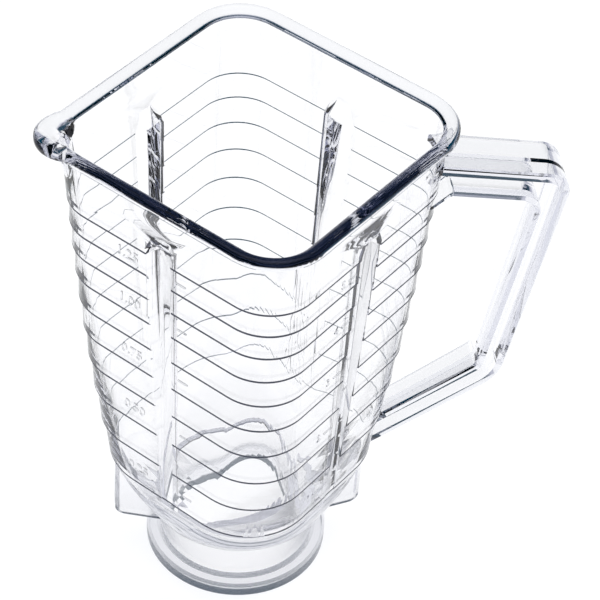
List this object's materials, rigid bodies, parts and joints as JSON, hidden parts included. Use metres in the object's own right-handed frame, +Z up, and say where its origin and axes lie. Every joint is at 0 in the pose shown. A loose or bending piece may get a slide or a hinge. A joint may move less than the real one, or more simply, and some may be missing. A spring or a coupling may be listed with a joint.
{
  "type": "blender jar",
  "caption": "Clear square blender jar with a pouring nose, graduation ledges, corner handle, locking lugs and a round clamping neck open at the foot.",
  "frame": {"origin": "on the jar's axis at the foot of the clamping ring", "axes": "+Z up towards the mouth, +X towards the handle, -X towards the pouring nose"},
  "size_m": [0.1935, 0.1456, 0.216],
  "materials": {
    "clear_plastic": "clear, polished"
  },
  "bodies": {
    "root": {"jar": "clear_plastic"}
  },
  "joints": []
}
